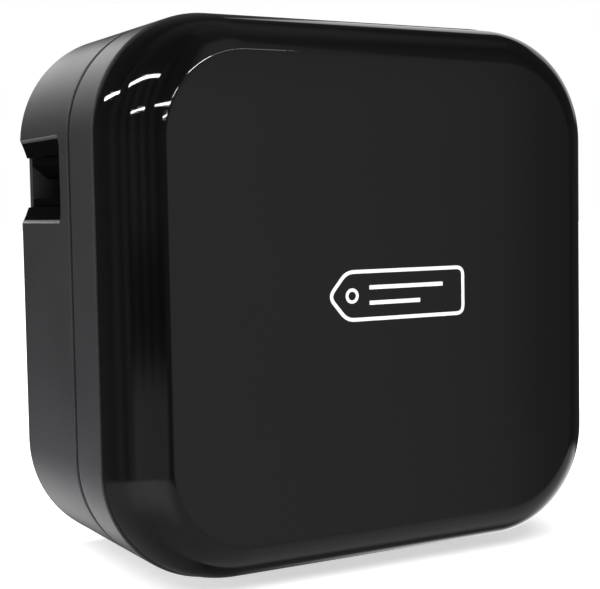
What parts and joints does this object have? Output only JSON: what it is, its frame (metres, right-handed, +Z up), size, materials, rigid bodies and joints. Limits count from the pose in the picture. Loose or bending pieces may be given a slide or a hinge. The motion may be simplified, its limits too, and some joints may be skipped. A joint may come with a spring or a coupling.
{
  "type": "label maker",
  "caption": "Cube-shaped desktop label printer: glossy front cover, satin body, tape exit in the left side, and a rear door over a tape cassette, rollers and cutter.",
  "frame": {"origin": "on the surface it stands on, under the middle of the casing", "axes": "+X to the right seen from the front, the glossy front faces -Y, +Z up"},
  "size_m": [0.128, 0.067, 0.128],
  "materials": {
    "gloss_cover": "high gloss black moulding",
    "satin_body": "fine satin spark texture",
    "inner_black": "matt moulding",
    "seam_black": "matt moulding",
    "steel": "satin steel",
    "brass_gear": "turned brass",
    "motor_can": "zinc plated can",
    "rubber_foot": "matt rubber",
    "roller_rubber": "ground rubber",
    "lens": "clear white lens",
    "chip_black": "moulded package",
    "battery_wrap": "shrink wrap",
    "board_green": "solder mask",
    "shield_metal": "mill finish",
    "ceramic": "glazed ceramic",
    "gear_white": "moulded acetal",
    "gear_black": "moulded acetal",
    "cassette_grey": "moulded",
    "cassette_dark": "moulded",
    "film_clear": "wound clear film",
    "tape_white": "wound label tape",
    "ribbon_black": "wound ink ribbon"
  },
  "bodies": {
    "casing": {"front_cover": "gloss_cover", "middle_frame": "satin_body", "rear_shell": "satin_body", "exit_guide": "inner_black", "battery_tray": "inner_black", "tape_bay": "inner_black", "chassis_plate": "seam_black", "door_hinge_pin_left": "steel", "door_hinge_pin_right": "steel", "holder_pivot_pin": "steel", "case_screw_1": "steel", "case_screw_2": "steel", "case_screw_3": "steel", "case_screw_4": "steel", "cutter_fixed_blade": "steel", "cutter_pivot_pin": "steel", "charging_socket": "steel", "feed_motor": "motor_can", "cutter_motor": "motor_can", "foot_front_left": "rubber_foot", "foot_front_right": "rubber_foot", "foot_rear_left": "rubber_foot", "foot_rear_right": "rubber_foot", "power_light": "lens", "battery_light": "lens", "power_switch": "chip_black", "main_processor": "chip_black", "battery_pack": "battery_wrap", "main_board": "board_green", "wireless_module": "shield_metal", "heat_sink": "shield_metal", "print_head": "ceramic", "cassette_lower_case": "cassette_grey", "cassette_upper_case": "cassette_dark", "label_strip": "tape_white"},
    "door": {"tape_door": "satin_body"},
    "latch": {"door_latch": "satin_body"},
    "button": {"power_button": "satin_body"},
    "holder": {"roller_holder": "gear_black"},
    "platen": {"platen_axle": "steel", "platen_roller": "roller_rubber"},
    "pinch": {"pinch_axle": "steel", "pinch_roller": "roller_rubber"},
    "holder_idler": {"holder_idler_gear": "gear_white"},
    "motor_shaft": {"motor_pinion": "brass_gear"},
    "reduction": {"reduction_gear": "gear_white"},
    "feed": {"feed_gear": "gear_white", "cassette_feed_roller": "cassette_dark"},
    "ribbon": {"ribbon_gear": "gear_black", "ribbon_takeup_spool": "ribbon_black"},
    "film": {"film_spool": "film_clear"},
    "adhesive": {"adhesive_spool": "tape_white"},
    "supply": {"ribbon_supply_spool": "ribbon_black"},
    "cutter_wheel": {"cutter_gear": "gear_white"},
    "cutter_drive": {"cutter_pinion": "gear_black"},
    "cutter_blade": {"cutter_moving_blade": "steel"}
  },
  "joints": [
    {"name": "door_hinge", "type": "hinge", "parent": "casing", "child": "door", "pos_m": [0, 0.032, 0.0062], "axis": [-1, 0, 0], "range_deg": [0, 90]},
    {"name": "latch_slide", "type": "slide", "parent": "door", "child": "latch", "axis": [0, 0, -1], "range_m": [0, 0.002], "stiffness_N_per_m": 800},
    {"name": "power_button_press", "type": "slide", "parent": "casing", "child": "button", "axis": [-1, 0, 0], "range_m": [0, 0.0008], "stiffness_N_per_m": 1500},
    {"name": "holder_swing", "type": "hinge", "parent": "casing", "child": "holder", "pos_m": [-0.012, 0.017, 0.103], "axis": [0, 1, 0], "range_deg": [0, 8]},
    {"name": "platen_spin", "type": "hinge", "parent": "holder", "child": "platen", "pos_m": [-0.027, 0.018, 0.0945], "axis": [0, 1, 0], "continuous": true},
    {"name": "pinch_spin", "type": "hinge", "parent": "holder", "child": "pinch", "pos_m": [-0.039, 0.018, 0.0945], "axis": [0, 1, 0], "continuous": true},
    {"name": "holder_idler_spin", "type": "hinge", "parent": "holder", "child": "holder_idler", "pos_m": [-0.033, 0.0034, 0.10121], "axis": [0, 1, 0], "continuous": true},
    {"name": "motor_spin", "type": "hinge", "parent": "casing", "child": "motor_shaft", "pos_m": [-0.03274, 0.002, 0.0544], "axis": [0, 1, 0], "continuous": true},
    {"name": "reduction_spin", "type": "hinge", "parent": "casing", "child": "reduction", "pos_m": [-0.04174, 0.002, 0.06999], "axis": [0, 1, 0], "continuous": true},
    {"name": "feed_spin", "type": "hinge", "parent": "casing", "child": "feed", "pos_m": [-0.039, 0.014, 0.0855], "axis": [0, 1, 0], "continuous": true},
    {"name": "ribbon_spin", "type": "hinge", "parent": "casing", "child": "ribbon", "pos_m": [-0.01997, 0.014, 0.07857], "axis": [0, 1, 0], "continuous": true},
    {"name": "film_spin", "type": "hinge", "parent": "casing", "child": "film", "pos_m": [-0.0225, 0.018, 0.053], "axis": [0, 1, 0], "continuous": true},
    {"name": "adhesive_spin", "type": "hinge", "parent": "casing", "child": "adhesive", "pos_m": [0.014, 0.018, 0.07], "axis": [0, 1, 0], "continuous": true},
    {"name": "supply_spin", "type": "hinge", "parent": "casing", "child": "supply", "pos_m": [0.008, 0.018, 0.042], "axis": [0, 1, 0], "continuous": true},
    {"name": "cutter_gear_turn", "type": "hinge", "parent": "casing", "child": "cutter_wheel", "pos_m": [-0.0453, 0.0158, 0.112], "axis": [-1, 0, 0], "range_deg": [0, 180]},
    {"name": "cutter_pinion_turn", "type": "hinge", "parent": "casing", "child": "cutter_drive", "pos_m": [-0.0453, 0.02563, 0.11888], "axis": [-1, 0, 0], "range_deg": [-560, 0]},
    {"name": "cutter_blade_swing", "type": "hinge", "parent": "casing", "child": "cutter_blade", "pos_m": [-0.0497, 0.0082, 0.086], "axis": [-1, 0, 0], "range_deg": [0, 25]}
  ],
  "couplings": [
    {"joint": "holder_swing", "follows": "door_hinge", "ratio": 0.0888},
    {"joint": "feed_spin", "follows": "adhesive_spin", "ratio": -4.875},
    {"joint": "film_spin", "follows": "adhesive_spin", "ratio": 1.1471},
    {"joint": "supply_spin", "follows": "adhesive_spin", "ratio": 3},
    {"joint": "pinch_spin", "follows": "adhesive_spin", "ratio": 4.875},
    {"joint": "holder_idler_spin", "follows": "adhesive_spin", "ratio": -4.875},
    {"joint": "platen_spin", "follows": "adhesive_spin", "ratio": 4.875},
    {"joint": "reduction_spin", "follows": "adhesive_spin", "ratio": 12.188},
    {"joint": "motor_spin", "follows": "adhesive_spin", "ratio": -36.562},
    {"joint": "ribbon_spin", "follows": "adhesive_spin", "ratio": 6.0938},
    {"joint": "cutter_pinion_turn", "follows": "cutter_gear_turn", "ratio": -3},
    {"joint": "cutter_blade_swing", "follows": "cutter_gear_turn", "ratio": 0.1388}
  ]
}
